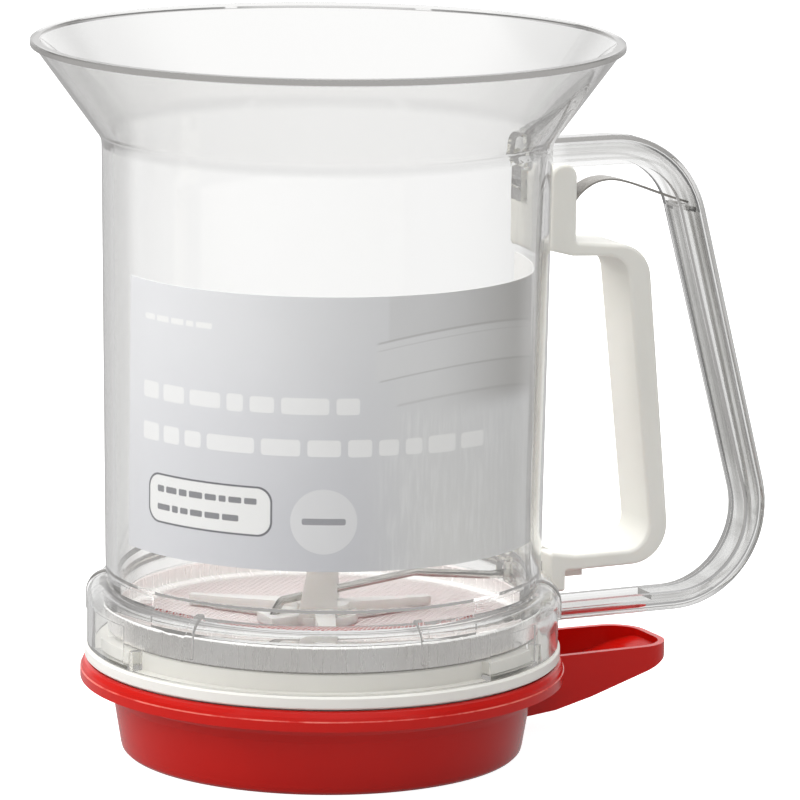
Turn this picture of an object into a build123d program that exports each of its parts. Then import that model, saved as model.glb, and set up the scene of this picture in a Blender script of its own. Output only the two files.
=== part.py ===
"""One-hand flour sifter: a clear moulded cup with a squeeze handle, standing in
a red catch tray.

Millimetres, +Z up, origin at the centre of the tray's underside on the cup
axis, handle toward +X.
"""
from build123d import *
import math
import os

os.makedirs("parts", exist_ok=True)

# ------------------------------------------------------------ shared dimensions
# Skirt at the foot of the cup
SKIRT_R = 56.4
SKIRT_IN_R = 54.9
SKIRT_Z0 = 25.9
SKIRT_Z1 = 36.6             # top of the skirt's upright outer face

LUG_ANGLES = (-60, 60, 180)     # bayonet lugs of the ring and ledges of the cup

# Handle and its grip; both grip faces lean outward toward the bottom
HANDLE_W = 10.0
HANDLE_WALL = 1.7
HANDLE_TOP = 144.7
HANDLE_TOP_IN = 137.9
HANDLE_BOT = 25.9
HANDLE_BOT_IN = 30.8
GRIP_SLOPE = 0.261          # outer grip face
GRIP_IN_SLOPE = 0.270       # inner grip face
TOP_ROUND = 26.0            # outer corner, top
BOT_ROUND = 24.8            # outer corner, bottom
TOP_IN_ROUND = 16.3         # inner corner, top
BOT_IN_ROUND = 18.7         # inner corner, bottom
CHANNEL_HALF_W = HANDLE_W / 2 - HANDLE_WALL

# Lever pivot and drive wire; places are (x, z)
PIVOT = (59.0, 133.5)
PIN_R = 1.5
FOOT_PIN = (59.2, 38.4)
WIRE_R = 1.0
WIRE_BEND_R = 1.6
# Centre line of the wire (x, y, z), from the lever's foot to the agitator
WIRE_PATH = [
    (FOOT_PIN[0], 7.0, FOOT_PIN[1]), (FOOT_PIN[0], 0.0, FOOT_PIN[1]), (45.0, 0.0, 38.4),
    (24.2, 0.0, 41.0), (1.2, 0.6, 38.2), (-10.4, 1.2, 36.7), (-12.6, 1.3, 33.1),
]

# Leaf spring
LEAF_W = 6.0
LEAF_T = 0.5
# Centre line of the spring (x, z), from the lever to the grip
LEAF_PATH = [
    (59.9, 123.1), (62.3, 126.2), (64.2, 128.9), (66.6, 131.5), (70.2, 133.5),
    (74.6, 134.0), (79.8, 132.8), (85.2, 130.9), (91.0, 128.7), (95.6, 127.2),
]

# Sieve
FRAME_R = 51.5
MESH_Z0 = 31.0
MESH_T = 0.4


# ---------------------------------------------------------------------- helpers
def corner_arc(before, corner, after, radius):
    """Start, middle and end of the arc that rounds a corner between two points."""
    to_before = (before[0] - corner[0], before[1] - corner[1])
    to_after = (after[0] - corner[0], after[1] - corner[1])
    len_before, len_after = math.hypot(*to_before), math.hypot(*to_after)
    to_before = (to_before[0] / len_before, to_before[1] / len_before)
    to_after = (to_after[0] / len_after, to_after[1] / len_after)
    cosine = to_before[0] * to_after[0] + to_before[1] * to_after[1]
    half = math.acos(max(-1.0, min(1.0, cosine))) / 2
    setback = radius / math.tan(half)
    bisector = (to_before[0] + to_after[0], to_before[1] + to_after[1])
    depth = (radius / math.sin(half) - radius) / math.hypot(*bisector)
    return (
        (corner[0] + to_before[0] * setback, corner[1] + to_before[1] * setback),
        (corner[0] + bisector[0] * depth, corner[1] + bisector[1] * depth),
        (corner[0] + to_after[0] * setback, corner[1] + to_after[1] * setback),
    )


def outline(points):
    """Edges of a closed outline; a point (a, b, r) is rounded to radius r."""
    count = len(points)
    corners = []
    for i, point in enumerate(points):
        place = (point[0], point[1])
        if len(point) > 2:
            before, after = points[i - 1], points[(i + 1) % count]
            corners.append(corner_arc(before, place, after, point[2]))
        else:
            corners.append((place, None, place))
    edges = []
    for i, (start, middle, end) in enumerate(corners):
        if middle is not None:
            edges.append(ThreePointArc(start, middle, end))
        following = corners[(i + 1) % count][0]
        if math.hypot(following[0] - end[0], following[1] - end[1]) > 1e-5:
            edges.append(Line(end, following))
    return edges


def slab(points, y0, y1):
    """Closed (x, z) or (x, z, corner radius) outline extruded from y0 to y1."""
    face = Face(Wire([Plane.XZ * edge for edge in outline(points)]))
    return Pos(0, y0, 0) * extrude(face, amount=y1 - y0, dir=(0, 1, 0))


def centred_slab(points, half_width):
    return slab(points, -half_width, half_width)


def revolved(points):
    """Closed (r, z) outline turned about the cup axis."""
    return revolve(make_face(Plane.XZ * Polyline(*points, close=True)), axis=Axis.Z)


def sector(angle0, angle1, z0, z1):
    """Pie slice between two angles in degrees, used to keep part of a ring."""
    reach = 72.0            # beyond every ring that is cut
    steps = max(2, int((angle1 - angle0) / 10) + 1)
    points = [(0, 0)]
    for k in range(steps + 1):
        angle = math.radians(angle0 + (angle1 - angle0) * k / steps)
        points.append((reach * math.cos(angle), reach * math.sin(angle)))
    return Pos(0, 0, z0) * extrude(make_face(Polyline(*points, close=True)), amount=z1 - z0)


def post(radius, height, z0, x=0):
    """Upright cylinder standing on z0."""
    align = (Align.CENTER, Align.CENTER, Align.MIN)
    return Pos(x, 0, z0) * Cylinder(radius, height, align=align)


def cross_cylinder(centre, radius, length, y=0):
    """Cylinder along Y, centred on an (x, z) place."""
    return Pos(centre[0], y, centre[1]) * Rot(90, 0, 0) * Cylinder(radius, length)


def strip(path, thickness, half_width):
    """Flat strip that follows an (x, z) path, extruded across its width."""
    left, right = [], []
    last = len(path) - 1
    for i, (x, z) in enumerate(path):
        x0, z0 = path[max(0, i - 1)]
        x1, z1 = path[min(last, i + 1)]
        length = math.hypot(x1 - x0, z1 - z0)
        normal_x, normal_z = -(z1 - z0) / length, (x1 - x0) / length
        left.append((x + normal_x * thickness / 2, z + normal_z * thickness / 2))
        right.append((x - normal_x * thickness / 2, z - normal_z * thickness / 2))
    with BuildSketch(Plane.XZ) as sketch:
        with BuildLine():
            Spline(*left)
            Line(left[-1], right[-1])
            Spline(*reversed(right))
            Line(right[0], left[0])
        make_face()
    return Pos(0, half_width, 0) * extrude(sketch.sketch, amount=2 * half_width)


def side_edges(shape, half_width):
    """Edges that lie in the two side faces at y = +-half_width."""
    return [e for e in shape.edges() if abs(abs(e.center().Y) - half_width) < 0.01]


def fillet_if_possible(shape, edges, radius):
    # Guards against a fillet the kernel cannot build: the edges then stay square.
    try:
        return fillet(edges, radius)
    except Exception:
        return shape


def save(name, shape):
    """Write a piece, which must be a single solid."""
    (solid,) = shape.solids()
    export_step(solid, "parts/" + name + ".step")


# --------------------------------------------------------------------- cup shell
RIM_R = 70.1                # outer radius of the flared mouth
RIM_Z = 171.1
RIM_FACE_H = 1.4            # upright face of the mouth
FLARE_Z = 147.7             # where the flare leaves the cylinder
KNEE_R = 4.5                # outside rounding there
KNEE_IN_R = KNEE_R + 2.6
CYL_TOP_R = 53.3
CYL_BOT_R = 52.0
CYL_IN_TOP_R = 50.7
CYL_IN_BOT_R = 49.4
SHOULDER_Z = 41.6
LEDGE_Z = 36.7              # underside of the inner lip, stop for the sieve frame
INNER_LIP_R = 48.5          # bore of the inner lip
INNER_LIP_OUT_R = 51.1      # its outer face, below the shoulder


def cup_shell():
    shoulder = (CYL_BOT_R, SHOULDER_Z)
    rim_foot = (RIM_R - 1.1, RIM_Z - RIM_FACE_H - 0.4)
    rim_in = (RIM_R - 2.2, RIM_Z)
    cyl_in_foot = (CYL_IN_BOT_R, 45.0)
    knee = corner_arc(shoulder, (CYL_TOP_R, FLARE_Z), rim_foot, KNEE_R)
    knee_in = corner_arc(rim_in, (CYL_IN_TOP_R, FLARE_Z + 0.6), cyl_in_foot, KNEE_IN_R)
    skirt_foot = (SKIRT_IN_R + 0.3, SKIRT_Z0)
    skirt_top = (SKIRT_R, SKIRT_Z1)
    hollow_start = (INNER_LIP_OUT_R + 0.3, 39.5)
    hollow_end = (SKIRT_IN_R, 36.5)
    with BuildSketch(Plane.XZ) as sketch:
        with BuildLine():
            # outside, from the foot of the skirt up to the mouth
            Polyline(skirt_foot, (SKIRT_R - 0.4, SKIRT_Z0), (SKIRT_R, SKIRT_Z0 + 0.4),
                     skirt_top)
            ThreePointArc(skirt_top, (55.0, 40.2), shoulder)
            Line(shoulder, knee[0])
            ThreePointArc(*knee)
            # round the rim
            Polyline(knee[2], rim_foot, (RIM_R, RIM_Z - RIM_FACE_H), (RIM_R, RIM_Z - 0.3),
                     (RIM_R - 0.3, RIM_Z), rim_in, knee_in[0])
            # inside, back down to the inner lip
            ThreePointArc(*knee_in)
            Polyline(knee_in[2], cyl_in_foot, (INNER_LIP_R, 44.0),
                     (INNER_LIP_R, LEDGE_Z + 0.6), (INNER_LIP_R + 0.5, LEDGE_Z),
                     (INNER_LIP_OUT_R, LEDGE_Z), hollow_start)
            # hollow under the shoulder, so that its wall stays even
            ThreePointArc(hollow_start, (53.85, 38.75), hollow_end)
            Polyline(hollow_end, (SKIRT_IN_R, SKIRT_Z0 + 0.3), skirt_foot)
        make_face()
    return revolve(sketch.sketch, axis=Axis.Z)


# ---------------------------------------------------------------------- cup ribs
RIB_W = 2.3
RIB_OUT_R = SKIRT_R + 0.7
RIB_Z0 = 32.3
RIB_Z1 = SKIRT_Z1 + 5.7
RIB_ANGLES = (-90, 30, 150, -148, -28, 92)


def shoulder_rib():
    """Short rib that straddles the shoulder, on the +X side."""
    rib = centred_slab([
        (50.6, 40.6), (51.4, 40.6), (54.2, 39.4), (55.5, SKIRT_Z1), (55.6, RIB_Z0),
        (RIB_OUT_R, RIB_Z0, 0.6), (RIB_OUT_R, RIB_Z1, 5.69), (50.6, RIB_Z1),
    ], RIB_W / 2)

    def is_outer(place):
        from_arc_centre = math.hypot(place.X - 51.4, place.Z - SKIRT_Z1)
        return place.X > RIB_OUT_R - 0.3 or (place.Z > 38.0 and from_arc_centre > 4.6)

    outer = [e for e in side_edges(rib, RIB_W / 2) if is_outer(e.center())]
    return fillet_if_possible(rib, outer, 0.5)


# ------------------------------------------------------------------- cup bayonet
def with_bayonet(cup):
    """Add the ledges, pockets and end stops inside the skirt, one set per ring lug."""
    ledge_in_r, ledge_out_r = 52.1, SKIRT_IN_R + 0.2
    ledge_z0, ledge_z1 = 25.95, 27.0
    ledge_ring = revolved([(ledge_in_r, ledge_z0), (ledge_out_r, ledge_z0),
                           (ledge_out_r, ledge_z1), (ledge_in_r, ledge_z1)])
    lip_pocket = revolved([(INNER_LIP_R - 1.0, 36.0), (INNER_LIP_R + 0.8, 36.0),
                           (INNER_LIP_R + 0.8, 43.4), (INNER_LIP_R - 1.0, 43.4)])
    skirt_pocket = revolved([(SKIRT_IN_R - 0.6, ledge_z1), (SKIRT_IN_R + 0.45, ledge_z1),
                             (SKIRT_IN_R + 0.45, 36.2), (SKIRT_IN_R - 0.6, 36.2)])
    for angle in LUG_ANGLES:
        # shallow pockets in lip and skirt above each ledge
        cup -= lip_pocket & sector(angle - 10, angle + 13, 35, 44)
        cup -= skirt_pocket & sector(angle - 10.5, angle + 8.5, 26, 38)
        cup += ledge_ring & sector(angle - 10, angle + 10, 25, 28)
        # end stop of the bayonet track
        cup += Rot(0, 0, angle + 11.5) * (Pos(53.7, 0, 28.4) * Box(2.7, 1.4, 4.6))
    return cup


# ------------------------------------------------------------------------ handle
GRIP_ROUND = 3.2            # rounding of the handle's outer long edges


def outer_grip_x(z):
    return 100.4 + (125.0 - z) * GRIP_SLOPE


def inner_grip_x(z):
    return 93.4 + (123.8 - z) * GRIP_IN_SLOPE


def outer_long_edges(shape, half_width, top, bottom, clearance):
    """Side edges along the top, the bottom and the outer face of the handle."""
    return [e for e in side_edges(shape, half_width)
            if e.center().Z > top - 0.2
            or e.center().X > inner_grip_x(e.center().Z) + clearance
            or e.center().Z < bottom + 0.2]


def cup_handle():
    root_x = 51.6
    foot_x = 55.5
    handle = centred_slab([
        (root_x, HANDLE_TOP),
        (outer_grip_x(HANDLE_TOP), HANDLE_TOP, TOP_ROUND),
        (outer_grip_x(HANDLE_BOT), HANDLE_BOT, BOT_ROUND),
        (foot_x, HANDLE_BOT),
        (foot_x, HANDLE_BOT_IN),
        (inner_grip_x(HANDLE_BOT_IN), HANDLE_BOT_IN, BOT_IN_ROUND),
        (inner_grip_x(HANDLE_TOP_IN), HANDLE_TOP_IN, TOP_IN_ROUND),
        (root_x, HANDLE_TOP_IN),
    ], HANDLE_W / 2)
    edges = outer_long_edges(handle, HANDLE_W / 2, HANDLE_TOP, HANDLE_BOT, 3.0)
    handle = fillet_if_possible(handle, edges, GRIP_ROUND)

    # channel that hollows the handle, open toward the cup
    top = HANDLE_TOP - HANDLE_WALL
    bottom = HANDLE_BOT + HANDLE_WALL
    wall_x = HANDLE_WALL / math.cos(math.atan(GRIP_SLOPE))
    channel = centred_slab([
        (57.5, top),
        (outer_grip_x(top) - wall_x, top, TOP_ROUND - HANDLE_WALL),
        (outer_grip_x(bottom) - wall_x, bottom, BOT_ROUND - HANDLE_WALL),
        (62.0, bottom), (62.0, 60.0), (57.5, 60.0),
    ], CHANNEL_HALF_W)
    edges = outer_long_edges(channel, CHANNEL_HALF_W, top, bottom, 2.0)
    return handle - fillet_if_possible(channel, edges, GRIP_ROUND - HANDLE_WALL + 0.1)


# ---------------------------------------------------------------------- cup body
EAR_W = 6.2
PIN_CLEARANCE = 0.05


def cup_body():
    cup = cup_shell()
    for angle in RIB_ANGLES:
        cup += Rot(0, 0, angle) * shoulder_rib()
    cup = with_bayonet(cup)
    cup += cup_handle()

    # ear under the flare that carries the lever pin
    ear = centred_slab([(52.3, 129.9), (PIVOT[0], 130.1), (PIVOT[0], 136.9), (52.6, 139.9)],
                       EAR_W / 2)
    ear += cross_cylinder(PIVOT, 3.4, EAR_W)
    cup += ear
    cup -= cross_cylinder(PIVOT, PIN_R + PIN_CLEARANCE, EAR_W + 4)

    # housing round the wire slot, half inside the cup and half on the shoulder
    boss = centred_slab([(48.7, 37.2), (56.5, 37.2), (56.5, 41.5), (53.9, 43.9),
                         (50.0, 43.9), (48.7, 42.6)], 4.4)
    top_edges = boss.edges().filter_by(Axis.Y).group_by(Axis.Z)[-1]
    cup += fillet_if_possible(boss, top_edges, 1.0)
    cup -= centred_slab([(46.0, 36.0), (60.0, 36.0), (60.0, 41.3), (46.0, 41.3)], 1.7)
    return cup


# -------------------------------------------------------------------- grip cover
COVER_T = 1.6
COVER_TOP_Z = 127.0
COVER_END_X = 87.0
COVER_FIT = 0.05            # gap to the channel on each side


def grip_cover():
    """Clear insert that closes the cup-facing side of the grip channel."""
    half_width = CHANNEL_HALF_W - COVER_FIT
    start_x = 70.0
    top = HANDLE_TOP_IN + COVER_T
    bottom = HANDLE_BOT_IN - COVER_T
    wall_x = COVER_T / math.cos(math.atan(GRIP_IN_SLOPE))
    cover = centred_slab([
        (start_x, HANDLE_TOP_IN),
        (inner_grip_x(HANDLE_TOP_IN), HANDLE_TOP_IN, TOP_IN_ROUND),
        (inner_grip_x(HANDLE_BOT_IN), HANDLE_BOT_IN, BOT_IN_ROUND),
        (start_x, HANDLE_BOT_IN),
        (start_x, bottom),
        (inner_grip_x(bottom) + wall_x, bottom, BOT_IN_ROUND + COVER_T),
        (inner_grip_x(top) + wall_x, top, TOP_IN_ROUND + COVER_T),
        (start_x, top),
    ], half_width)
    # trim above the top end, and short of the lower end
    cover -= Pos(95, 0, COVER_TOP_Z + 25) * Box(60, 30, 50)
    cover -= Pos(COVER_END_X - 25, 0, 40) * Box(50, 30, 60)
    # turned-in seat at the top, where the leaf spring tip bears
    seat_x = inner_grip_x(COVER_TOP_Z)
    cover += centred_slab([
        (seat_x + 0.4, COVER_TOP_Z - 1.4), (seat_x + 4.6, COVER_TOP_Z - 2.2),
        (seat_x + 4.6, COVER_TOP_Z - 0.9), (seat_x + 0.4, COVER_TOP_Z - 0.1),
    ], half_width)
    return cover


# ------------------------------------------------------------------------- lever
LEVER_W = 15.6
# Ends (x, z) of the strap's face toward the cup
STRAP_BOT = (84.7, 43.0)
STRAP_TOP = (76.5, 115.9)
CROSS_HOLE_R = WIRE_R + 0.15
CROSS_HOLE_DROP = 1.1       # how far the hole is slotted downward
CROSS_HOLE_L = 8.2
CROSS_HOLE_Y = 3.4
SLIT_GAP = 0.04             # round the leaf spring, each side


def strap_x(z):
    """X of the strap's face toward the cup."""
    slope = (STRAP_TOP[0] - STRAP_BOT[0]) / (STRAP_TOP[1] - STRAP_BOT[1])
    return STRAP_BOT[0] + slope * (z - STRAP_BOT[1])


def lever():
    body = centred_slab([
        (55.5, 118.4, 1.2), (55.5, 139.1, 3.3), (62.7, 139.1, 3.3), (62.7, 120.0, 0.8),
        (82.5, 118.0, 9.0), (90.0, 39.5, 9.5), (61.4, 39.3, 0.5), (61.4, 34.3, 0.6),
        (57.1, 34.3, 0.6), (57.1, 44.2, 0.8), (64.0, 43.0, 1.0), (*STRAP_BOT, 6.2),
        (*STRAP_TOP, 6.0), (62.0, 116.7, 2.0),
    ], LEVER_W / 2)
    body = fillet_if_possible(body, side_edges(body, LEVER_W / 2), 0.9)
    # hollow toward the grip, so the strap is a shallow channel
    body -= centred_slab([(strap_x(106) + 2.0, 106), (96, 106), (96, 52),
                          (strap_x(52) + 2.0, 52)], 5.7)
    # relief under the handle root, then the fork that fits over the cup's ear
    for z0, half_width in ((137.2, 5.25), (129.0, 3.3)):
        body -= centred_slab([(50, z0), (70, z0), (70, 145), (50, 145)], half_width)
    # blind pin holes
    body -= cross_cylinder(PIVOT, PIN_R, 13.0)
    # fork of the foot
    body -= centred_slab([(54, 32), (59.9, 32), (59.9, 46), (54, 46)], 1.5)
    # little stop under the lower arm
    body += slab([(65.2, 36.0), (70.0, 36.0), (70.0, 40.2), (65.2, 40.2)], 0.5, 6.5)
    # slotted cross hole for the wire's bent end
    foot_x, foot_z = FOOT_PIN
    slot = cross_cylinder(FOOT_PIN, CROSS_HOLE_R, CROSS_HOLE_L, CROSS_HOLE_Y)
    slot += cross_cylinder((foot_x, foot_z - CROSS_HOLE_DROP), CROSS_HOLE_R, CROSS_HOLE_L,
                           CROSS_HOLE_Y)
    slot += (Pos(foot_x, CROSS_HOLE_Y, foot_z - CROSS_HOLE_DROP / 2)
             * Box(2 * CROSS_HOLE_R, CROSS_HOLE_L, CROSS_HOLE_DROP))
    body -= slot
    # slit that holds the leaf spring
    body -= strip(LEAF_PATH, LEAF_T + 2 * SLIT_GAP, LEAF_W / 2 + SLIT_GAP)
    return body


def leaf_spring():
    return strip(LEAF_PATH, LEAF_T, LEAF_W / 2)


def lever_pin():
    return cross_cylinder(PIVOT, PIN_R - 0.005, 12.6)


# -------------------------------------------------------------------- drive wire
def swept_wire(points, direction, radius):
    """Round wire along a polyline with bent corners; direction is that of its start."""
    start = Plane(origin=points[0], z_dir=direction)
    path = FilletPolyline(*points, radius=WIRE_BEND_R)
    return sweep(start * Circle(radius), path=path, transition=Transition.ROUND)


def drive_wire():
    return swept_wire(WIRE_PATH, (0, -1, 0), WIRE_R)


# ---------------------------------------------------------------------- agitator
AGITATOR_Z0 = 31.7
ARM_W = 4.6
ARM_TIP_W = 2.2
ARM_H = 4.2
ARM_TIP_H = 2.0
# Arms: angle in degrees, length
ARMS = ((-112, 36.0), (128, 36.0), (8, 30.0))
# Upright cheeks either side of the wire: place (x, y), outline (x, z)
CHEEKS = (
    ((-3.6, -4.6), [(-4.7, 32.5), (4.9, 32.5), (4.5, 47.5), (-2.0, 47.5)]),
    ((3.2, 4.8), [(-2.9, 32.5), (3.1, 32.5), (2.7, 47.5), (-2.6, 47.5)]),
)


def agitator_arm(angle, length):
    """Arm that gets lower and narrower toward its tip."""
    body = centred_slab([(0, AGITATOR_Z0), (length, AGITATOR_Z0),
                         (length, AGITATOR_Z0 + ARM_TIP_H), (0, AGITATOR_Z0 + ARM_H)],
                        ARM_W / 2)
    plan = make_face(Polyline(
        (-1, -ARM_W / 2), (length * 0.4, -ARM_W / 2), (length + 0.2, -ARM_TIP_W / 2),
        (length + 0.2, ARM_TIP_W / 2), (length * 0.4, ARM_W / 2), (-1, ARM_W / 2),
        close=True))
    body = body & (Pos(0, 0, 30) * extrude(plan, amount=20))
    return Rot(0, 0, angle) * body


def agitator():
    hub = post(8.4, 2.0, AGITATOR_Z0)
    hub += post(6.2, 4.0, AGITATOR_Z0)
    for angle, length in ARMS:
        hub += agitator_arm(angle, length)
    for (x, y), points in CHEEKS:
        hub += Pos(x, y, 0) * Rot(0, 0, -25) * centred_slab(points, 1.25)
    # arm that takes the hooked end of the wire
    hub += slab([(-14.8, AGITATOR_Z0), (-4.0, AGITATOR_Z0), (-4.0, AGITATOR_Z0 + 2.6),
                 (-14.8, AGITATOR_Z0 + 2.2)], -3.4, 5.4)
    # clearance for the wire, run on a little past its end
    path = [(30.0, 0.0, 40.28), *WIRE_PATH[3:6], (-13.0, 1.32, 32.4)]
    hub -= swept_wire(path, (-1, 0, 0), WIRE_R + 0.06)
    return hub


# ------------------------------------------------------------------------- sieve
FRAME_T = 0.5
FRAME_Z0 = 30.1
FRAME_Z1 = 36.6


def sieve_frame():
    mesh_top = MESH_Z0 + MESH_T
    return revolved([
        (FRAME_R - FRAME_T, mesh_top + 0.8), (FRAME_R - FRAME_T, FRAME_Z1 - 0.5),
        (FRAME_R - 2.2, FRAME_Z1 - 0.5), (FRAME_R - 2.2, FRAME_Z1),
        (FRAME_R - 0.3, FRAME_Z1), (FRAME_R, FRAME_Z1 - 0.3),
        (FRAME_R, FRAME_Z0 + 0.4), (FRAME_R - 0.4, FRAME_Z0),
        (FRAME_R - 3.4, FRAME_Z0), (FRAME_R - 3.4, MESH_Z0),
        (FRAME_R - 0.8, MESH_Z0), (FRAME_R - 0.8, mesh_top),
        (FRAME_R - 2.4, mesh_top), (FRAME_R - 2.4, mesh_top + 0.5),
        (FRAME_R - 1.2, mesh_top + 0.8),
    ])


def sieve_mesh():
    return post(FRAME_R - 0.85, MESH_T, MESH_Z0)


# ---------------------------------------------------------------- retaining ring
FLANGE_R = 56.9
FLANGE_Z0 = 22.9
FLANGE_Z1 = 25.85
RING_IN_R = 49.4
RING_WALL_R = 51.3          # upright wall of the ring, inside the skirt
RING_TOP_Z = 30.05


def retaining_ring():
    ring = revolved([
        (RING_IN_R, 19.05), (54.6, 19.05), (54.9, 19.35), (54.9, FLANGE_Z0),
        (FLANGE_R - 0.4, FLANGE_Z0), (FLANGE_R, FLANGE_Z0 + 0.4),
        (FLANGE_R, FLANGE_Z1 - 0.4), (FLANGE_R - 0.4, FLANGE_Z1), (RING_WALL_R, FLANGE_Z1),
        (RING_WALL_R, RING_TOP_Z - 0.25), (RING_WALL_R - 0.25, RING_TOP_Z),
        (RING_IN_R, RING_TOP_Z),
    ])
    lug_ring = revolved([(RING_WALL_R - 0.4, 27.1), (54.1, 27.1), (54.1, 29.9),
                         (RING_WALL_R - 0.4, 29.9)])
    for angle in LUG_ANGLES:
        ring += lug_ring & sector(angle - 9, angle + 9, 26, 31)
    # finger notches inside the ring, to turn it
    for angle in range(0, 360, 30):
        ring -= Rot(0, 0, angle) * post(1.4, 5.0, 18.9, x=RING_IN_R)
    return ring


# -------------------------------------------------------------------- catch tray
TRAY_RIM_R = 58.0
TRAY_RIM_IN_R = 55.5
TRAY_TOP_Z = 22.5
TRAY_LEDGE_Z = 19.0
TRAY_BASE_R = 48.2
TRAY_WALL_R = 50.2
TRAY_T = 1.6                # floor of the bowl, and walls and floor of the scoop
SCOOP_END_X = 89.6
SCOOP_HALF_W = 14.2
SCOOP_TOP_Z = 19.9

# Inside of the bowl (r, z), from the centre of the floor out to the rim
BOWL_INSIDE = [
    (0, TRAY_T), (45.4, TRAY_T), (46.4, 2.6), (48.2, 14.4), (49.4, 17.6),
    (50.8, TRAY_LEDGE_Z), (TRAY_RIM_IN_R, TRAY_LEDGE_Z),
]
# Outside of the tray (r, z), from the centre of the underside up and over the rim
TRAY_OUTSIDE = [
    (0, 0), (TRAY_BASE_R - 1.7, 0), (TRAY_BASE_R - 0.9, 0.25), (TRAY_BASE_R - 0.25, 0.9),
    (TRAY_BASE_R, 1.8), (TRAY_WALL_R - 0.1, 13.2), (TRAY_WALL_R + 0.5, 15.2),
    (51.7, 16.5), (53.2, 17.2), (TRAY_RIM_R - 1.2, 17.6),
    (TRAY_RIM_R, 17.9), (TRAY_RIM_R, 20.1), (TRAY_RIM_R - 0.25, 20.3),
    (TRAY_RIM_R - 0.45, 21.1), (TRAY_RIM_R - 0.9, 22.0), (TRAY_RIM_R - 1.5, TRAY_TOP_Z),
    (TRAY_RIM_IN_R + 0.4, TRAY_TOP_Z), (TRAY_RIM_IN_R, TRAY_TOP_Z - 0.4),
]


def scoop(inset, top, start_x):
    """Block of the pouring scoop, drawn in by inset at the sides, tip and floor."""
    end_x = SCOOP_END_X - inset
    root_y = SCOOP_HALF_W - inset
    tip_y = SCOOP_HALF_W * 0.90 - inset
    plan = make_face(Polyline((start_x, -root_y), (end_x, -tip_y), (end_x, tip_y),
                              (start_x, root_y), close=True))
    block = extrude(plan, amount=30)
    tips = [e for e in block.edges().filter_by(Axis.Z) if e.center().X > end_x - 0.5]
    block = fillet(tips, 9.0 - inset)
    side = centred_slab([
        (start_x, 5.4 + inset), (56.0, 6.6 + inset), (66.0, 9.0 + inset),
        (84.0, 14.6 + inset), (end_x + 1.0, 17.0 + inset), (end_x + 1.0, top),
        (start_x, top),
    ], 20)
    return block & side


def catch_tray():
    """Round tray with an open scoop toward the handle, its floor rising to the tip."""
    tray = revolved(TRAY_OUTSIDE + BOWL_INSIDE[::-1])
    scoop_out = scoop(0.0, SCOOP_TOP_Z, 44.0)
    scoop_in = scoop(TRAY_T, SCOOP_TOP_Z + 3.0, 43.0)
    bowl_space = revolved(BOWL_INSIDE + [(TRAY_RIM_IN_R, 30), (0, 30)])
    tray += scoop_out - bowl_space
    # hollow the scoop outside the rim, then open it into the tray below the ledge
    tray -= scoop_in - Cylinder(TRAY_RIM_R, 80)
    tray -= scoop_in & post(TRAY_RIM_R + 0.05, 12.4, 5)
    return tray


# -------------------------------------------------------------------- label card
CARD_R = 49.3
CARD_T = 0.35
CARD_Z0 = 54.0
CARD_Z1 = 118.3


def label_card():
    """Curved card just inside the cup wall, on the -Y side."""
    card = revolved([(CARD_R - CARD_T, CARD_Z0), (CARD_R, CARD_Z0), (CARD_R, CARD_Z1),
                     (CARD_R - CARD_T, CARD_Z1)])
    return card & sector(-179, -5, CARD_Z0 - 1, CARD_Z1 + 1)


PIECES = (cup_body, grip_cover, lever, leaf_spring, lever_pin, drive_wire, agitator,
          sieve_frame, sieve_mesh, retaining_ring, catch_tray, label_card)
for piece in PIECES:
    save(piece.__name__, piece())
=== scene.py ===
"""Squeeze-handled sifter with a clear cup, a lever in its handle and a catch tray.

The cup stands on the floor with its axis on +Z; the handle reaches out toward +X.
The tray and sieve are near the bottom, the flared mouth is at the top, and the
printed card curves round inside the cup. Lengths are metres unless marked mm.
"""
import bpy
import math
import random
from functools import reduce

import numpy as np
from mathutils import Matrix, Vector


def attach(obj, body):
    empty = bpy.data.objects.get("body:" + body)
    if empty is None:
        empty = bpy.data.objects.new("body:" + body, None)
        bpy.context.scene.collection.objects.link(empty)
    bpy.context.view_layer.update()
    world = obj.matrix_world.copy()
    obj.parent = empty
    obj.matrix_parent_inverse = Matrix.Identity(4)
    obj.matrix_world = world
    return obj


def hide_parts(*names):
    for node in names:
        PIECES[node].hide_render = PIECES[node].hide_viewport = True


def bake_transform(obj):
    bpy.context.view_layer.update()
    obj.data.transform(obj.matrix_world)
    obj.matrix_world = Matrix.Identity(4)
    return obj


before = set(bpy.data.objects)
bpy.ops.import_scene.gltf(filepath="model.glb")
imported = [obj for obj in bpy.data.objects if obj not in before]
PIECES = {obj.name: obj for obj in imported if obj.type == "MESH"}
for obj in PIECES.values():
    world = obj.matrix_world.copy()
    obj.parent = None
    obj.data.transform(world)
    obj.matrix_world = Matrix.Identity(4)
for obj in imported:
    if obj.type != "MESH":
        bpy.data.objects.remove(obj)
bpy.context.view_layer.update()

scene = bpy.context.scene

MM_PER_M = 1000.0
CAMERA_TURN = math.radians(-25)  # turn about Z of the camera and lights; 0 looks along +Y


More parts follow.
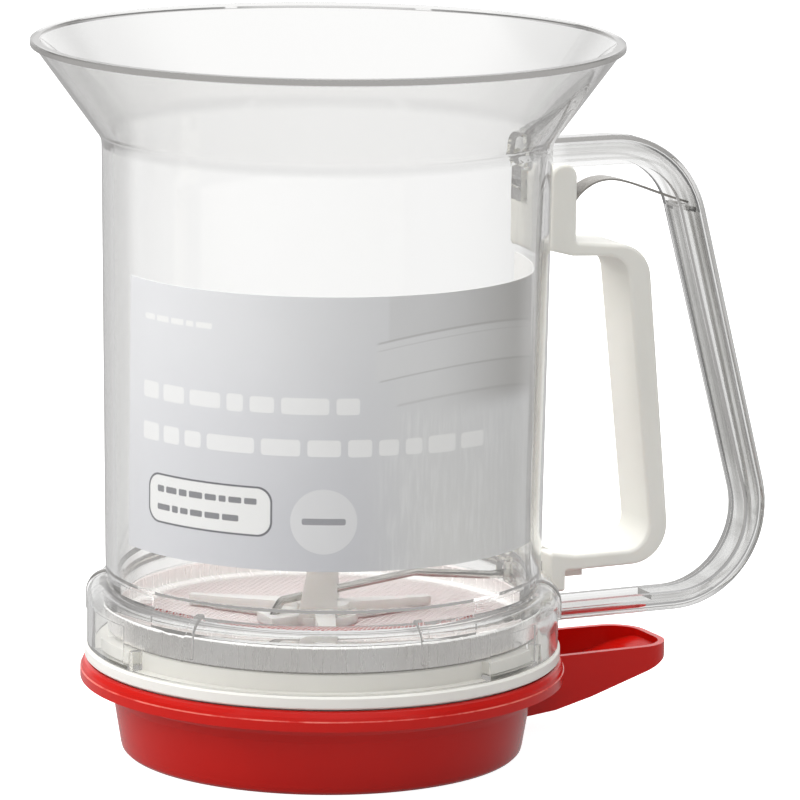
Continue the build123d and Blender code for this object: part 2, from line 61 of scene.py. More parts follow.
# -------------------------------------------------------------- shader graphs
class Value:
    """A node output; arithmetic on it adds math nodes, [key] picks a sibling output."""

    def __init__(self, graph, socket):
        self.graph = graph
        self.socket = socket

    def __getitem__(self, key):
        return Value(self.graph, self.socket.node.outputs[key])

    def __add__(self, other):
        return self.graph.math("ADD", self, other)

    def __radd__(self, other):
        return self.graph.math("ADD", other, self)

    def __sub__(self, other):
        return self.graph.math("SUBTRACT", self, other)

    def __rsub__(self, other):
        return self.graph.math("SUBTRACT", other, self)

    def __mul__(self, other):
        return self.graph.math("MULTIPLY", self, other)

    def __abs__(self):
        return self.graph.math("ABSOLUTE", self)

    def ramp(self, off, on):
        """Smooth step from 0 at `off` to 1 at `on`; either may be the larger."""
        if off <= on:
            return self.graph.map_range(self, off, on, 0.0, 1.0)
        return self.graph.map_range(self, on, off, 1.0, 0.0)


class Graph:
    """A node tree, emptied and given its output node."""

    def __init__(self, tree, output_kind):
        self.tree = tree
        tree.nodes.clear()
        self.output = tree.nodes.new(output_kind)

    def put(self, socket, value):
        """Link a Value to an input, or set the input to a constant."""
        if isinstance(value, Value):
            self.tree.links.new(value.socket, socket)
        elif isinstance(value, tuple) and len(value) == 3 and socket.type == "RGBA":
            socket.default_value = (*value, 1.0)
        else:
            socket.default_value = value

    def node(self, kind, inputs=None, **settings):
        """Add a node and return its first output; `inputs` maps sockets to values."""
        made = self.tree.nodes.new(kind)
        for key, value in settings.items():
            setattr(made, key, value)
        for key, value in (inputs or {}).items():
            self.put(made.inputs[key], value)
        return Value(self, made.outputs[0])

    def math(self, operation, *operands):
        return self.node("ShaderNodeMath", dict(enumerate(operands)), operation=operation)

    def vector_math(self, operation, inputs):
        return self.node("ShaderNodeVectorMath", inputs, operation=operation)

    def max(self, first, second):
        return self.math("MAXIMUM", first, second)

    def length(self, first, second):
        return self.math("SQRT", first * first + second * second)

    def map_range(self, value, from_min, from_max, to_min, to_max):
        ends = (value, from_min, from_max, to_min, to_max)
        return self.node("ShaderNodeMapRange", dict(enumerate(ends)),
                         interpolation_type="SMOOTHSTEP")

    def mix(self, factor, first, second):
        """Blend two colours."""
        return self.node("ShaderNodeMix", {0: factor, 6: first, 7: second},
                         data_type="RGBA")[2]

    def mix_number(self, factor, first, second):
        return self.node("ShaderNodeMix", {0: factor, 2: first, 3: second},
                         data_type="FLOAT")

    def coords(self, kind="Object"):
        return self.node("ShaderNodeTexCoord")[kind]

    def split(self, vector):
        parts = self.node("ShaderNodeSeparateXYZ", {0: vector})
        return parts[0], parts[1], parts[2]

    def join(self, x, y, z):
        return self.node("ShaderNodeCombineXYZ", {0: x, 1: y, 2: z})

    def noise(self, vector, scale=1.0, stretch=None, detail=3.0, roughness=0.5):
        """Noise; `stretch` gives each axis its own scale first."""
        if stretch:
            vector = self.node("ShaderNodeMapping", {"Vector": vector, "Scale": stretch})
        return self.node("ShaderNodeTexNoise", {
            "Vector": vector, "Scale": scale, "Detail": detail, "Roughness": roughness})

    def bump(self, height, strength, distance):
        return self.node("ShaderNodeBump", {
            "Strength": strength, "Distance": distance, "Height": height})

    def principled(self, **inputs):
        return self.node("ShaderNodeBsdfPrincipled", {
            key.replace("_", " "): value for key, value in inputs.items()})

    def emission(self, colour, strength=1.0):
        return self.node("ShaderNodeEmission", {0: colour, 1: strength})

    def mix_shader(self, factor, first, second):
        return self.node("ShaderNodeMixShader", {0: factor, 1: first, 2: second})


class Material(Graph):
    def __init__(self, name):
        self.material = bpy.data.materials.new(name)
        self.material.use_nodes = True
        super().__init__(self.material.node_tree, "ShaderNodeOutputMaterial")

    def finish(self, shader):
        self.put(self.output.inputs["Surface"], shader)
        return self.material


# ------------------------------------------------------------------ materials
def handle_depth(mat, x, z):
    """Depth in mm inside the handle's outer outline, with its bends rounded."""
    top_z, foot_z = 144.7, 25.9
    grip_x, grip_lean = 133.03, 261.0  # grip edge at z = 0 in mm, and mm inward per metre up
    lean_cosine = 0.9676
    top_bend, foot_bend = 21.6, 38.8  # how widely the edges blend into each other
    top = top_z - z * MM_PER_M
    grip = (grip_x - z * grip_lean - x * MM_PER_M) * lean_cosine
    foot = z * MM_PER_M - foot_z
    upper = mat.math("SMOOTH_MIN", top, grip, top_bend)
    return mat.math("SMOOTH_MIN", upper, foot, foot_bend)


def handle_painted_streaks(mat, x, y, z):
    """Mask of painted shade: grey lengthwise streaks that stand in for refraction in the thick
    outer half of the handle.
    """
    depth = handle_depth(mat, x, z)
    streak = mat.noise(mat.join(depth * 1.1, z * 14.0, y * 160.0), roughness=0.6)
    handle = x.ramp(off=0.0585, on=0.0625)
    grip = z.ramp(off=0.036, on=0.060) * z.ramp(off=0.136, on=0.120)
    core = depth.ramp(off=0.3, on=1.1) * depth.ramp(off=4.7, on=3.9)
    line = depth.ramp(off=4.7, on=5.0) * depth.ramp(off=5.6, on=5.3)
    # each part keeps a base amount, and the rest comes with the streaks or the grip
    streak_shade = core * (0.40 + streak.ramp(off=0.38, on=0.58) * 0.60)
    streak_shade = streak_shade * (0.32 + grip * 0.68)
    streak_shade = mat.max(streak_shade, line * (0.35 + grip * 0.65))
    streak_shade = mat.max(streak_shade, depth.ramp(off=9.0, on=3.0) * 0.12)
    return streak_shade * handle


def clear_plastic(name, wave):
    """Clear moulded plastic: glassy skin, faint grey body colour, light shadow."""
    tint = (0.995, 0.995, 0.993)
    smear_tint = (tint[0] * 0.995, tint[1] * 0.995, tint[2] * 0.993)
    mat = Material(name)
    place = mat.coords()
    x, y, z = mat.split(place)
    ripple = mat.noise(place, stretch=(22.0, 22.0, 9.0), detail=2.0, roughness=0.4)
    fine = mat.noise(place, scale=900.0, detail=2.0)
    normal = mat.bump(ripple + fine * 0.01, strength=wave, distance=0.004)
    smear = mat.noise(place, stretch=(30.0, 30.0, 14.0), detail=4.0, roughness=0.6)
    roughness = 0.015 + smear.ramp(off=0.5, on=0.8) * 0.03
    colour = mat.mix(smear.ramp(off=0.3, on=0.7), tint, smear_tint)
    # painted shade: the flared mouth is tinted a little greyer than the wall, and its knee
    # greyer still
    colour = mat.mix(z.ramp(off=0.146, on=0.150), colour, (0.925, 0.923, 0.916))
    knee = z.ramp(off=0.1455, on=0.1478) * z.ramp(off=0.1500, on=0.1480)
    colour = mat.mix(knee * 0.8, colour, (0.86, 0.858, 0.855))
    # painted shade: the handle streaks darken the glass colour where refraction would look
    # dark
    colour = mat.mix(handle_painted_streaks(mat, x, y, z), colour, (0.38, 0.375, 0.36))
    # painted shade: walls seen nearly edge-on get a soft grey line just inside their outline
    facing = mat.node("ShaderNodeLayerWeight", {"Blend": 0.5})["Facing"]
    edge_on = facing.ramp(off=0.50, on=0.70) * facing.ramp(off=0.92, on=0.76)
    colour = mat.mix(edge_on * 0.56, colour, (0.38, 0.375, 0.37))
    glass = mat.principled(Base_Color=colour, Roughness=roughness, IOR=1.49,
                           Transmission_Weight=1.0, Normal=normal)
    # shadow and diffuse rays pass straight through
    clear = mat.node("ShaderNodeBsdfTransparent", {0: (0.975, 0.975, 0.97)})
    path = mat.node("ShaderNodeLightPath")
    passing = mat.max(path["Is Shadow Ray"], path["Is Diffuse Ray"])
    skin = mat.mix_shader(passing, glass, clear)
    # painted glow: light trapped bouncing round inside the wall comes out as an even soft grey
    # emission
    trapped_glow = mat.max(mat.math("GREATER_THAN", path["Glossy Depth"], 2.5),
                   mat.math("GREATER_THAN", path["Ray Depth"], 9.5))
    surface = mat.mix_shader(trapped_glow * (1.0 - passing), skin,
                             mat.emission((0.46, 0.45, 0.44)))
    body = mat.node("ShaderNodeVolumeAbsorption",
                    {"Color": (0.04, 0.03, 0.0), "Density": 12.0})
    mat.put(mat.output.inputs["Volume"], body)
    return mat.finish(surface)


def opaque_plastic(name, colour, dark, roughness, coat, subsurface, subsurface_radius,
                   grain=0.06, specular=0.5, bead=None):
    """Coloured plastic; `bead` is the (radius, height) in mm of a painted highlight line along
    a rolled edge.
    """
    mat = Material(name)
    place = mat.coords()
    patch = mat.noise(place, scale=24.0)
    base = mat.mix(patch.ramp(off=0.35, on=0.7), colour, dark)
    if bead:
        bead_radius, bead_height = bead
        x, y, z = mat.split(place)
        radius = mat.length(x, y) * MM_PER_M
        near = (abs(z * MM_PER_M - bead_height).ramp(off=0.22, on=0.05)
                * radius.ramp(off=bead_radius, on=bead_radius + 0.3))
        glint_breakup = mat.noise(place, stretch=(90.0, 90.0, 90.0), detail=4.0, roughness=0.6)
        # painted highlight: a broken pale line along the rolled edge
        base = mat.mix(near * (glint_breakup.ramp(off=0.35, on=0.60) * 0.42), base,
                       (0.90, 0.34, 0.26))
    fine = mat.noise(place, scale=1400.0, detail=2.0)
    swirl = mat.noise(place, stretch=(60.0, 60.0, 20.0))
    return mat.finish(mat.principled(
        Base_Color=base, Roughness=roughness + (swirl - 0.5) * 0.10, IOR=1.5,
        Coat_Weight=coat, Coat_Roughness=0.12, Specular_IOR_Level=specular,
        Subsurface_Weight=subsurface, Subsurface_Radius=subsurface_radius,
        Subsurface_Scale=0.002,
        Normal=mat.bump(fine * 0.15 + patch * 0.8, strength=grain, distance=0.0006)))


def natural_plastic(name):
    """Cloudy, half see-through uncoloured plastic."""
    mat = Material(name)
    place = mat.coords()
    cloud = mat.noise(place, scale=70.0)
    base = mat.mix(cloud, (0.92, 0.92, 0.895), (0.87, 0.87, 0.84))
    return mat.finish(mat.principled(
        Base_Color=base, Roughness=0.28 + cloud * 0.12, IOR=1.5, Transmission_Weight=0.42,
        Subsurface_Weight=0.5, Subsurface_Radius=(1.0, 1.0, 0.9), Subsurface_Scale=0.003,
        Normal=mat.bump(mat.noise(place, scale=500.0), strength=0.05, distance=0.0005)))


# noise scales that draw the streaks out along one axis
ALONG_X = (25.0, 1500.0, 1500.0)
ALONG_Z = (900.0, 900.0, 20.0)


def steel(name, colour, dark, roughness, variation, grain):
    """Metal with fine streaks; `variation` is how far they change its roughness."""
    mat = Material(name)
    streak = mat.noise(mat.coords(), stretch=grain, detail=5.0, roughness=0.65)
    return mat.finish(mat.principled(
        Base_Color=mat.mix(streak.ramp(off=0.3, on=0.75), colour, dark), Metallic=1.0,
        Roughness=roughness + (streak - 0.5) * variation,
        Normal=mat.bump(streak, strength=0.08, distance=0.0003)))


def band_steel(name):
    """Rolled band: brushed grey round the outside, a painted highlight on the top edge,
    painted shadow along the bottom edge, and an inner face painted pale with a slight glow.
    """
    mat = Material(name)
    x, y, z = mat.split(mat.coords())
    angle = mat.math("ARCTAN2", y, x)
    radius = mat.length(x, y)
    brushed = mat.noise(mat.join(angle * 55.0, 0.0, z * 90.0), detail=5.0, roughness=0.7)
    cloud = mat.noise(mat.join(angle * 3.0, 0.0, z * 30.0), detail=2.0)
    base = mat.mix(brushed.ramp(off=0.3, on=0.75), (0.92, 0.895, 0.875), (0.78, 0.76, 0.74))
    base = mat.mix(cloud.ramp(off=0.42, on=0.72) * 0.7, base, (0.93, 0.92, 0.91))
    # painted highlight: the top edge and the inner face are painted near-white, and the inner
    # face also glows slightly
    inner = radius.ramp(off=0.0512, on=0.0508)
    painted_light = mat.max(inner, z.ramp(off=0.0361, on=0.0364))
    # painted shadow along the bottom edge, in the gap above the ring
    base = mat.mix(z.ramp(off=0.0307, on=0.0304), base, (0.30, 0.29, 0.28))
    base = mat.mix(painted_light, base, (0.98, 0.975, 0.965))
    return mat.finish(mat.principled(
        Base_Color=base, Metallic=0.85 - painted_light * 0.65,
        Roughness=0.26 + (brushed - 0.5) * 0.20,
        Emission_Color=(1.0, 0.99, 0.98), Emission_Strength=inner * 0.21,
        Normal=mat.bump(brushed, strength=0.04, distance=0.0003)))


def woven_wire(name):
    mat = Material(name)
    speckle = mat.noise(mat.coords(), scale=260.0, roughness=0.6)
    base = mat.mix(speckle, (0.96, 0.935, 0.93), (0.90, 0.87, 0.865))
    return mat.finish(mat.principled(
        Base_Color=base, Metallic=0.25 + speckle * 0.15, Roughness=0.28 + speckle * 0.16))


# ---------------------------------------------------------------- printed card
CARD_HEADING = math.radians(-115)  # direction of the card's middle from the cup axis
CARD_RADIUS = 49.3                 # mm
WHITE = (0.985, 0.985, 0.985)


def rounded_box(mat, along, across, centre, half, radius):
    """1 inside a rounded rectangle, 0 outside, with a soft edge."""
    soft = 0.12
    over_along = mat.max(abs(along - centre[0]) - (half[0] - radius), 0.0)
    over_across = mat.max(abs(across - centre[1]) - (half[1] - radius), 0.0)
    distance = mat.length(over_along, over_across)
    return distance.ramp(off=radius + soft, on=radius - soft)


def blocks(mat, along, across, start, end, middle, half, seed, gap, small, large):
    """A row of plain rounded blocks, `small` to `large` wide; not lettering."""
    draw = random.Random(seed)

    def row():
        left = start
        while left < end - small:
            width = draw.uniform(small, large)
            if left + width > end:
                width = end - left
            yield rounded_box(mat, along, across, centre=(left + width / 2, middle),
                              half=(width / 2, half * draw.uniform(0.86, 1.0)),
                              radius=min(0.9, half * 0.4))
            left += width + gap

    return reduce(mat.max, row())


def card_ground(mat, around, height, flat):
    """The grey printed background, before any blocks or panels."""
    grain = mat.noise(flat, scale=3.6, detail=2.0, roughness=0.7)
    cloud = mat.noise(flat, stretch=(0.035, 0.03, 1.0), detail=2.0)
    lower = mat.mix(around.ramp(off=-62.0, on=8.0), (0.745, 0.75, 0.785), (0.63, 0.635, 0.675))
    lower = mat.mix(around.ramp(off=2.0, on=30.0), lower, (0.78, 0.78, 0.775))
    upper = mat.mix(around.ramp(off=-62.0, on=24.0), (0.875, 0.88, 0.91), (0.79, 0.795, 0.815))
    ground = mat.mix(height.ramp(off=54.0, on=118.0), lower, upper)
    ground = mat.mix(cloud.ramp(off=0.35, on=0.75) * 0.12, ground, (0.62, 0.63, 0.67))
    # pale, powdery fall on the right-hand half
    streak = mat.noise(flat, stretch=(0.9, 0.09, 1.0), detail=5.0, roughness=0.65)
    puff = mat.noise(flat, stretch=(0.10, 0.07, 1.0))
    low_right = around.ramp(off=8.0, on=20.0) * height.ramp(off=94.0, on=88.0)
    fall = low_right * (streak.ramp(off=0.40, on=0.72) * puff.ramp(off=0.20, on=0.55))
    ground = mat.mix(fall * 0.62, ground, (0.90, 0.905, 0.91))
    # soft stepped grey shape above it, on bowed levels, darker toward the card's end
    level = height + (around - 38.0) * (around - 38.0) * 0.004
    top = around.ramp(off=14.0, on=15.0) * level.ramp(off=109.5, on=110.2)
    middle = around.ramp(off=11.2, on=12.2) * (
        level.ramp(off=100.8, on=101.6) * level.ramp(off=110.0, on=109.3))
    low = around.ramp(off=15.6, on=16.8) * (
        level.ramp(off=94.2, on=95.4) * level.ramp(off=101.2, on=100.4))
    whole = mat.max(mat.max(whole_rise := height.ramp(off=88.0, on=95.0), top),
                    mat.max(middle, low)) if False else mat.max(top, mat.max(middle, low))
    shade = around.ramp(off=22.0, on=58.0) * mat.max(whole, height.ramp(off=88.0, on=95.0))
    ground = mat.mix(shade * 0.92, ground, (0.40, 0.39, 0.375))
    for part, amount, tint in ((top, 0.22, (0.56, 0.545, 0.53)),
                               (middle, 0.24, (0.86, 0.855, 0.85)),
                               (low, 0.14, (0.84, 0.835, 0.83))):
        ground = mat.mix(part * amount, ground, tint)
    # dark seams between the steps: level, half width, strength, left end
    for seam_level, half, amount, start in ((110.0, 0.42, 0.42, 11.4),
                                            (108.2, 0.25, 0.20, 11.4),
                                            (101.0, 0.35, 0.32, 11.8),
                                            (94.5, 0.5, 0.22, 16.0)):
        seam = (abs(level - seam_level).ramp(off=half, on=half * 0.2)
                * around.ramp(off=start, on=start + 1.2))
        ground = mat.mix(seam * amount, ground, (0.34, 0.325, 0.32))
    return mat.mix(grain.ramp(off=0.35, on=0.75) * 0.12, ground, (0.90, 0.90, 0.92))


def white_rows(mat, around, height, colour):
    """Two rows of white blocks, and a thin short row above them."""
    rows = mat.max(
        blocks(mat, around, height, start=-48.5, end=8.0, middle=92.8, half=2.1,
               seed=3, gap=1.6, small=4.0, large=11.0),
        blocks(mat, around, height, start=-48.5, end=44.5, middle=83.0, half=2.1,
               seed=8, gap=1.6, small=4.0, large=12.0))
    colour = mat.mix(rows * 0.75, colour, WHITE)
    thin = blocks(mat, around, height, start=-48.0, end=-27.0, middle=110.0, half=0.7,
                  seed=5, gap=0.8, small=2.0, large=4.5)
    return mat.mix(thin * 0.85, colour, WHITE)


def round_badge(mat, around, height, colour):
    """Pale round badge with one grey bar."""
    centre = (0.0, 65.8)
    radius = mat.length(around - centre[0], height - centre[1])
    colour = mat.mix(radius.ramp(off=7.75, on=7.5) * 0.62, colour, (0.88, 0.88, 0.89))
    bar = rounded_box(mat, around, height, centre, half=(5.0, 0.75), radius=0.5)
    return mat.mix(bar * 0.75, colour, (0.22, 0.22, 0.25))


def outlined_panel(mat, around, height, colour):
    """Pale rounded panel with a thin grey outline and two rows of grey bars."""
    centre = (-29.0, 67.6)
    outline = rounded_box(mat, around, height, centre, half=(17.2, 5.9), radius=3.6)
    inside = rounded_box(mat, around, height, centre, half=(16.75, 5.45), radius=3.3)
    colour = mat.mix(outline, colour, (0.16, 0.16, 0.18))
    colour = mat.mix(inside, colour, (0.93, 0.93, 0.93))
    bars = reduce(mat.max, (
        blocks(mat, around, height, start=-43.0, end=end, middle=middle, half=0.8,
               seed=seed, gap=0.7, small=1.8, large=4.2)
        for end, middle, seed in ((-15.5, 69.9, 21), (-17.5, 65.6, 22))))
    return mat.mix(bars * 0.9, colour, (0.20, 0.20, 0.22))


def end_panel(mat, around, height, colour):
    """Plain white panel at the card's right end, with upright rows of grey bars."""
    colour = mat.mix(around.ramp(off=62.5, on=63.0), colour, (0.88, 0.88, 0.875))
    # place round the card and top of each row
    rows = ((66.5, 100.0), (70.5, 104.0), (74.5, 96.0), (80.0, 106.0), (85.0, 92.0))
    bars = reduce(mat.max, (
        blocks(mat, height, around, start=66.0, end=top, middle=middle, half=0.55,
               seed=40 + i, gap=0.9, small=1.5, large=4.0)
        for i, (middle, top) in enumerate(rows)))
    return mat.mix(bars * 0.55, colour, (0.42, 0.42, 0.45))


def printed_card(name):
    """Card art, laid out in mm round the card from its middle and mm of height."""
    mat = Material(name)
    x, y, z = mat.split(mat.coords())
    cosine, sine = math.cos(CARD_HEADING), math.sin(CARD_HEADING)
    outward = x * cosine + y * sine
    sideways = x * -sine + y * cosine
    around = mat.math("ARCTAN2", sideways, outward) * CARD_RADIUS
    height = z * MM_PER_M
    flat = mat.join(around * 1.0, height * 1.0, 0.0)
    colour = card_ground(mat, around, height, flat)
    for layer in (white_rows, round_badge, outlined_panel, end_panel):
        colour = layer(mat, around, height, colour)
    # the unprinted back of the card
    back = mat.length(x, y).ramp(off=0.04912, on=0.04908)
    colour = mat.mix(back * 0.97, colour, (0.80, 0.80, 0.785))
    fibre = mat.noise(flat, scale=9.0, roughness=0.6)
    return mat.finish(mat.principled(
        Base_Color=colour, Roughness=0.36 + fibre * 0.12, IOR=1.45,
        Normal=mat.bump(fibre, strength=0.05, distance=0.0004)))


# -------------------------------------------------- materials put on the pieces
CUP = clear_plastic("clear_cup", wave=0.008)
COVER = clear_plastic("clear_cover", wave=0.012)
LEVER = opaque_plastic(
    "white_lever", colour=(0.79, 0.78, 0.735), dark=(0.76, 0.75, 0.70), roughness=0.33,
    coat=0.05, subsurface=0.15, subsurface_radius=(1.0, 0.9, 0.8))
RING = opaque_plastic(
    "white_ring", colour=(0.79, 0.78, 0.74), dark=(0.76, 0.745, 0.705), roughness=0.34,
    coat=0.05, subsurface=0.12, subsurface_radius=(1.0, 0.95, 0.85))
TRAY = opaque_plastic(
    "red_tray", colour=(0.545, 0.008, 0.004), dark=(0.515, 0.006, 0.003), roughness=0.20,
    coat=0.0, subsurface=0.06, subsurface_radius=(1.0, 0.10, 0.05), grain=0.01,
    specular=0.32, bead=(57.4, 20.2))
AGITATOR = natural_plastic("natural_agitator")
BAND = band_steel("steel_band")
WIRE = steel("steel_wire", colour=(0.66, 0.65, 0.63), dark=(0.46, 0.45, 0.43),
             roughness=0.20, variation=0.14, grain=ALONG_X)
LEAF = steel("steel_leaf", colour=(0.52, 0.50, 0.47), dark=(0.36, 0.34, 0.31),
             roughness=0.26, variation=0.12, grain=ALONG_X)
PIN = steel("steel_pin", colour=(0.70, 0.69, 0.68), dark=(0.55, 0.54, 0.53),
            roughness=0.22, variation=0.10, grain=ALONG_Z)
MESH = woven_wire("woven_wire")
CARD = printed_card("printed_card")


def assign(obj, material):
    obj.data.materials.clear()
    obj.data.materials.append(material)


for piece, material in (
        ("cup_body", CUP), ("grip_cover", COVER), ("lever", LEVER), ("leaf_spring", LEAF),
        ("lever_pin", PIN), ("drive_wire", WIRE), ("agitator", AGITATOR),
        ("sieve_frame", BAND), ("sieve_mesh", MESH), ("retaining_ring", RING),
        ("catch_tray", TRAY), ("label_card", CARD)):
    assign(PIECES[piece], material)


def add_object(name, mesh):
    obj = bpy.data.objects.new(name, mesh)
    scene.collection.objects.link(obj)
    return obj


# ----------------------------------------------------------------- sieve weave
def woven(radius, height, pitch, wire_radius, wave, sides=5):
    """Plain-weave wire cloth cut to a disc: every wire is its own wavy tube."""
    verts, faces, first = [], [], 0
    corner = np.arange(sides)
    angles = 2 * np.pi * corner / sides + 0.3
    off_side, off_up = wire_radius * np.cos(angles), wire_radius * np.sin(angles)
    count = int(radius / pitch)
    for i in range(-count, count + 1):
        fixed = i * pitch
        if abs(fixed) > radius - 0.3 * pitch:
            continue
        half = math.sqrt(radius * radius - fixed * fixed)
        steps = max(2, int(2 * half / (pitch / 2)))
        line = np.linspace(-half, half, steps + 1)
        run = np.repeat(line[:, None], sides, 1)
        side = fixed + np.repeat(off_side[None, :], steps + 1, 0)
        # crossing wires are half a wave apart, so they pass over and under
        for along_x, phase in ((True, math.pi * (i % 2)), (False, math.pi * ((i + 1) % 2))):
            centre = height + wave * np.cos(np.pi * line / pitch + phase)
            up = centre[:, None] + off_up[None, :]
            columns = (run, side, up) if along_x else (side, run, up)
            verts.append(np.stack(columns, -1).reshape(-1, 3))
            ring = first + np.arange(steps)[:, None] * sides
            a = ring + corner[None, :]
            b = ring + ((corner + 1) % sides)[None, :]
            quad = (a, a + sides, b + sides, b) if along_x else (a, b, b + sides, a + sides)
            faces.append(np.stack(quad, -1).reshape(-1, 4))
            first += (steps + 1) * sides
    return np.concatenate(verts), np.concatenate(faces)


def quad_mesh(name, verts, faces):
    """Smooth mesh of quads, filled straight from arrays."""
    mesh = bpy.data.meshes.new(name)
    mesh.vertices.add(len(verts))
    mesh.vertices.foreach_set("co", verts.astype(np.float32).ravel())
    mesh.loops.add(faces.size)
    mesh.loops.foreach_set("vertex_index", faces.astype(np.int32).ravel())
    mesh.polygons.add(len(faces))
    mesh.polygons.foreach_set("loop_start", (np.arange(len(faces)) * 4).astype(np.int32))
    mesh.polygons.foreach_set("use_smooth", np.ones(len(faces), dtype=bool))
    mesh.update(calc_edges=True)
    return mesh


weave = add_object("sieve_weave", quad_mesh("sieve_weave", *woven(
    radius=0.0501, height=0.0312, pitch=0.00105, wire_radius=0.000135, wave=0.00012)))
assign(weave, MESH)
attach(weave, "sieve")
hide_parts("sieve_mesh")

# ----------------------------------------------------------------- leaf spring
# middle line of the strip in the XZ plane: x, z in mm
LEAF_PATH = [(59.9, 123.1), (62.3, 126.2), (64.2, 128.9), (66.6, 131.5), (70.2, 133.5),
             (74.6, 134.0), (79.8, 132.8), (85.2, 130.9), (91.0, 128.7), (95.6, 127.2)]
LEAF_HALF_WIDTH = 3.0    # mm
LEAF_HALF_THICK = 0.25   # mm
LEAF_TIP_NARROWING = 0.9  # mm off each side at the +X end
LEAF_TIP_RINGS = 5.0     # rings over which it narrows
LEAF_BEVEL = (0.12, 0.1)  # mm across the width and through the thickness


def spline(points, per_span):
    """Catmull-Rom curve through the points."""
    curve = []
    last = len(points) - 1
    for i in range(last):
        p0, p1 = points[max(0, i - 1)], points[i]
        p2, p3 = points[i + 1], points[min(last, i + 2)]
        for k in range(per_span):
            s = k / per_span
            curve.append(tuple(
                0.5 * (2 * p1[c] + (p2[c] - p0[c]) * s
                       + (2 * p0[c] - 5 * p1[c] + 4 * p2[c] - p3[c]) * s * s
                       + (3 * p1[c] - p0[c] - 3 * p2[c] + p3[c]) * s ** 3)
                for c in range(2)))
    curve.append(points[-1])
    return curve


def leaf_mesh():
    """Finely divided bevelled strip."""
    path = spline(LEAF_PATH, per_span=8)
    last = len(path) - 1
    thick = LEAF_HALF_THICK
    bevel_wide, bevel_thick = LEAF_BEVEL
    verts, faces = [], []
    for i, (x, z) in enumerate(path):
        x0, z0 = path[max(0, i - 1)]
        x1, z1 = path[min(last, i + 1)]
        span = math.hypot(x1 - x0, z1 - z0)
        normal_x, normal_z = -(z1 - z0) / span, (x1 - x0) / span
        from_tip = min(1.0, (last - i) / LEAF_TIP_RINGS)
        wide = LEAF_HALF_WIDTH - LEAF_TIP_NARROWING * (1 - from_tip) ** 2
        flat, edge = wide - bevel_wide, thick - bevel_thick
        section = [(-wide, -edge), (-flat, -thick), (flat, -thick), (wide, -edge),
                   (wide, edge), (flat, thick), (-flat, thick), (-wide, edge)]
        for y, off in section:
            verts.append(((x + normal_x * off) / MM_PER_M, y / MM_PER_M,
                          (z + normal_z * off) / MM_PER_M))
    sides = len(section)
    for i in range(last):
        for k in range(sides):
            a, b = i * sides + k, i * sides + (k + 1) % sides
            faces.append((a, a + sides, b + sides, b))
    faces.append(tuple(range(sides)))
    faces.append(tuple(range(last * sides + sides - 1, last * sides - 1, -1)))
    mesh = bpy.data.meshes.new("leaf_strip")
    mesh.from_pydata(verts, [], faces)
    mesh.validate()
    mesh.update()
    return mesh


leaf = add_object("leaf_strip", leaf_mesh())
assign(leaf, LEAF)
for polygon in leaf.data.polygons:
    polygon.use_smooth = True
leaf.data.set_sharp_from_angle(angle=math.radians(35))
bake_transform(leaf)
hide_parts("leaf_spring")


# ----------------------------------------------------------------------- floor
def camera_away(graph, direction):
    """Parts of a world direction: level and away from the camera, then the camera's
    own sideways and forward parts."""
    turned, turned_up = (
        graph.node("ShaderNodeVectorTransform", {0: value}, vector_type="VECTOR",
                   convert_from="WORLD", convert_to="CAMERA")
        for value in (direction, (0.0, 0.0, 1.0)))
    tilt = graph.vector_math("DOT_PRODUCT", {0: turned_up, 1: (0.0, 0.0, 1.0)})["Value"]
    lean = graph.vector_math("SCALE", {0: turned_up, "Scale": tilt})
    level = graph.vector_math("SUBTRACT", {0: (0.0, 0.0, 1.0), 1: lean})
    unit = graph.vector_math("NORMALIZE", {0: level})
    away = graph.vector_math("DOT_PRODUCT", {0: turned, 1: unit})["Value"]
    across, _, ahead = graph.split(turned)
    return away, across, ahead


def floor_paint(name):
    """Near-white to the camera, softer grey when mirrored in or seen through the object."""
    mat = Material(name)
    colour = mat.mix(mat.noise(mat.coords(), scale=3.0, detail=2.0),
                     (0.50, 0.50, 0.50), (0.49, 0.49, 0.49))
    paint = mat.principled(Base_Color=colour, Roughness=0.9, Specular_IOR_Level=0.1)
    path = mat.node("ShaderNodeLightPath")
    incoming = mat.node("ShaderNodeNewGeometry")["Incoming"]
    away, _, ahead = camera_away(mat, incoming)
    behind = mat.max(away.ramp(off=-0.45, on=-0.75), ahead.ramp(off=-0.80, on=-0.94))
    glow = mat.emission((1.0, 1.0, 1.0), path["Is Camera Ray"] * 0.93)
    direct = mat.node("ShaderNodeAddShader", {0: paint, 1: glow})
    through = path["Is Transmission Ray"] * behind
    dim = mat.emission((1.0, 1.0, 1.0), 0.46 + through * 0.62)
    bent = mat.max(path["Is Glossy Ray"], path["Is Transmission Ray"])
    return mat.finish(mat.mix_shader(bent, direct, dim))


FLOOR_HALF = 7
floor_mesh = bpy.data.meshes.new("floor")
floor_mesh.from_pydata(
    [(x * FLOOR_HALF, y * FLOOR_HALF, 0) for x, y in ((-1, -1), (1, -1), (1, 1), (-1, 1))],
    [], [(0, 1, 2, 3)])
floor = add_object("floor", floor_mesh)
assign(floor, floor_paint("floor_paint"))

# ---------------------------------------------------------------------- lights
RIGHT = Vector((math.cos(CAMERA_TURN), math.sin(CAMERA_TURN), 0))
AWAY = Vector((-math.sin(CAMERA_TURN), math.cos(CAMERA_TURN), 0))


def area(name, right, away, height, aim_height, size, power):
    """Soft light placed as the camera sees it, aimed at the Z axis, with no reflection."""
    place = RIGHT * right + AWAY * away + Vector((0, 0, height))
    data = bpy.data.lights.new(name, "AREA")
    data.energy = power
    data.shape = "RECTANGLE"
    data.size, data.size_y = size
    light = bpy.data.objects.new(name, data)
    light.location = place
    aim = Vector((0, 0, aim_height)) - place
    light.rotation_euler = aim.to_track_quat("-Z", "Y").to_euler()
    scene.collection.objects.link(light)
    light.visible_glossy = False
    light.visible_transmission = False


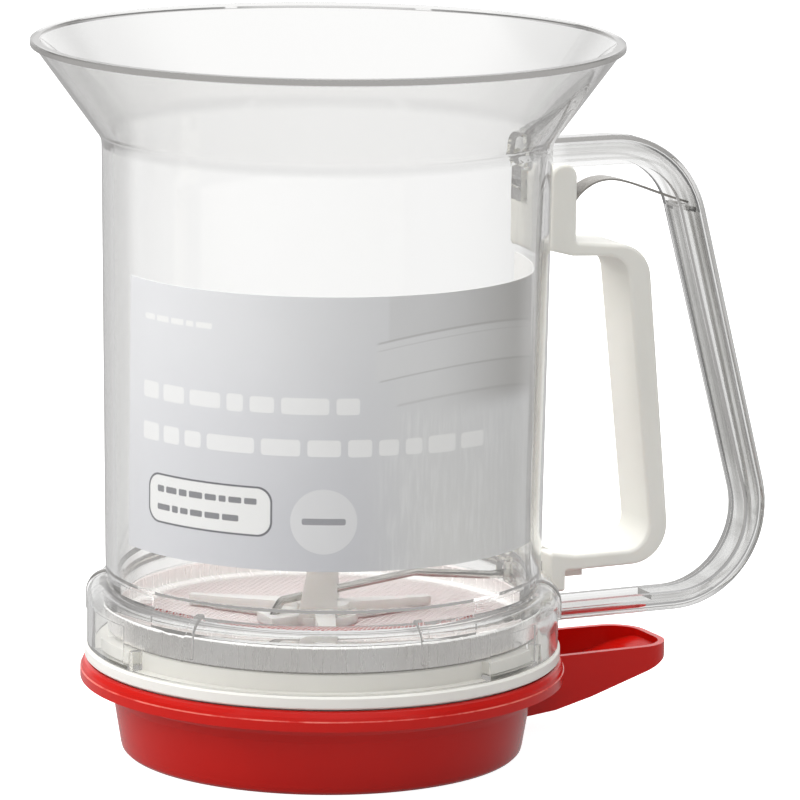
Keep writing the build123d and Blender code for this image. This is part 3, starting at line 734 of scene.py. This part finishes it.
area("key_left", right=-1.15, away=-0.35, height=0.75, aim_height=0.08,
     size=(0.7, 0.9), power=10.5)
area("top_soft", right=0.1, away=0.15, height=1.5, aim_height=0.05,
     size=(1.2, 1.2), power=17.0)
area("back_left", right=-0.75, away=0.85, height=0.75, aim_height=0.06,
     size=(0.8, 0.8), power=11.0)
area("fill_front", right=0.25, away=-1.3, height=0.7, aim_height=0.08,
     size=(0.8, 0.8), power=3.5)


# ----------------------------------------------------------------------- world
def studio(name):
    """White sweep behind the object, white ceiling, dim room at the sides and front."""
    world = bpy.data.worlds.new(name)
    scene.world = world
    world.use_nodes = True
    graph = Graph(world.node_tree, "ShaderNodeOutputWorld")
    span, blend = graph.map_range, graph.mix_number
    direction = graph.coords("Generated")
    _, _, z = graph.split(direction)
    away, across, _ = camera_away(graph, direction)
    sweep = span(away, 0.70, 0.90, 0.0, 1.0)
    beside = span(graph.math("ABSOLUTE", across, 0.0), 0.42, 0.60, 0.0, 1.0)
    ceiling = blend(beside, span(z, 0.35, 0.85, 0.0, 1.0), span(z, 0.55, 0.80, 0.0, 1.0))
    front = span(away, -0.30, -0.90, 0.22, 0.58)
    # narrow tall windows to either side of the camera, for the long highlights
    level = graph.math("SQRT", graph.max(1.0 - z * z, 0.0001), 0.0)
    heading = graph.math("DIVIDE", across, level)
    facing = span(away, -0.2, -0.4, 0.0, 1.0)
    for middle, half in ((-0.65, 0.055), (0.70, 0.040)):
        off = graph.math("ABSOLUTE", heading - middle, 0.0)
        window = span(off, half, half * 0.7, 0.0, 1.0) * facing
        front = blend(window, front, 1.1)
    room = blend(ceiling, front, 1.0)
    room = blend(sweep, room, 1.06)
    # diffuse rays get a plain gradient, the camera plain white
    path = graph.node("ShaderNodeLightPath")
    room = blend(path["Is Diffuse Ray"], room, span(z, 0.0, 0.9, 0.30, 0.65))
    room = blend(path["Is Camera Ray"], room, 1.0)
    graph.put(graph.output.inputs[0],
              graph.node("ShaderNodeBackground", {0: (1.0, 1.0, 1.0), 1: room}))


studio("studio")
scene.view_settings.view_transform = "Standard"
scene.view_settings.look = "None"
scene.view_settings.exposure = 0.0

# ---------------------------------------------------------------------- camera
CAMERA_DISTANCE = 1.3933214
CAMERA_HEIGHT = 0.3544279
# radians: aim to the right, aim downward, roll
PAN, TILT, ROLL = 0.01281074, 0.19108095, 0.01239056

forward = Vector((math.sin(PAN) * math.cos(TILT), math.cos(PAN) * math.cos(TILT),
                  -math.sin(TILT)))
level_right = Vector((math.cos(PAN), -math.sin(PAN), 0))
level_up = level_right.cross(forward)
right = level_right * math.cos(ROLL) + level_up * math.sin(ROLL)
up = level_up * math.cos(ROLL) - level_right * math.sin(ROLL)
turn = Matrix.Rotation(CAMERA_TURN, 3, "Z")
axes = Matrix((turn @ right, turn @ up, -(turn @ forward))).transposed()
position = turn @ Vector((0, -CAMERA_DISTANCE, CAMERA_HEIGHT))

camera_data = bpy.data.cameras.new("camera")
camera_data.sensor_width = 36.0
camera_data.lens = 268.57476
camera_data.clip_start = 0.01
camera_data.clip_end = 100.0
camera = bpy.data.objects.new("camera", camera_data)
camera.matrix_world = Matrix.Translation(position) @ axes.to_4x4()
scene.collection.objects.link(camera)
scene.camera = camera
